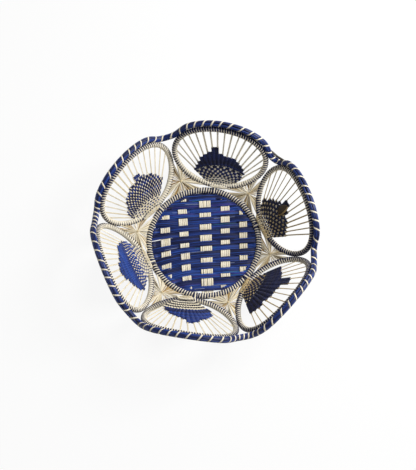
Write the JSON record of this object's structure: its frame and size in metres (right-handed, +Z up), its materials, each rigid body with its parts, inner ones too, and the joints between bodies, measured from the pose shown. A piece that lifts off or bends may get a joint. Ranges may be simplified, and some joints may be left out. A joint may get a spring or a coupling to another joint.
{
  "type": "palm basket",
  "caption": "Shallow round basket of palm strands on wire hoops: woven base, open petals with woven fans, star fillings and a thick wavy lashed rim, for bread or fruit.",
  "frame": {"origin": "on the table, under the middle of the basket's outline", "axes": "+Z up, +Y away from the viewer of the picture, +X to the viewer's right"},
  "size_m": [0.2892, 0.288, 0.0866],
  "materials": {
    "natural_palm": "undyed split palm, dry, satin",
    "blue_palm": "palm dyed royal to navy blue, satin",
    "striped_palm": "wrapping of blue and undyed palm turns side by side",
    "iron_wire": "soft iron wire inside the wrappings"
  },
  "bodies": {
    "root": {"base_ring_wire": "iron_wire", "base_ring_wrap": "striped_palm", "base_warp_1": "natural_palm", "base_warp_2": "natural_palm", "base_warp_3": "natural_palm", "base_warp_4": "natural_palm", "base_warp_5": "natural_palm", "base_weft_1": "blue_palm", "base_weft_10": "blue_palm", "base_weft_11": "blue_palm", "base_weft_12": "blue_palm", "base_weft_13": "blue_palm", "base_weft_14": "blue_palm", "base_weft_2": "blue_palm", "base_weft_3": "blue_palm", "base_weft_4": "blue_palm", "base_weft_5": "blue_palm", "base_weft_6": "blue_palm", "base_weft_7": "blue_palm", "base_weft_8": "blue_palm", "base_weft_9": "blue_palm", "petal_1_spokes": "natural_palm", "petal_1_tie": "blue_palm", "petal_1_weave": "blue_palm", "petal_1_wire": "iron_wire", "petal_1_wrap": "natural_palm", "petal_2_spokes": "natural_palm", "petal_2_tie": "blue_palm", "petal_2_weave": "blue_palm", "petal_2_wire": "iron_wire", "petal_2_wrap": "natural_palm", "petal_3_spokes": "natural_palm", "petal_3_tie": "blue_palm", "petal_3_weave": "blue_palm", "petal_3_wire": "iron_wire", "petal_3_wrap": "natural_palm", "petal_4_spokes": "natural_palm", "petal_4_tie": "blue_palm", "petal_4_weave": "blue_palm", "petal_4_wire": "iron_wire", "petal_4_wrap": "natural_palm", "petal_5_spokes": "natural_palm", "petal_5_tie": "blue_palm", "petal_5_weave": "blue_palm", "petal_5_wire": "iron_wire", "petal_5_wrap": "natural_palm", "petal_6_spokes": "natural_palm", "petal_6_tie": "blue_palm", "petal_6_weave": "blue_palm", "petal_6_wire": "iron_wire", "petal_6_wrap": "natural_palm", "rim_lashing": "natural_palm", "rim_wire": "iron_wire", "rim_wrap": "blue_palm", "star_1": "natural_palm", "star_2": "natural_palm", "star_3": "natural_palm", "star_4": "natural_palm", "star_5": "natural_palm", "star_6": "natural_palm"}
  },
  "joints": []
}
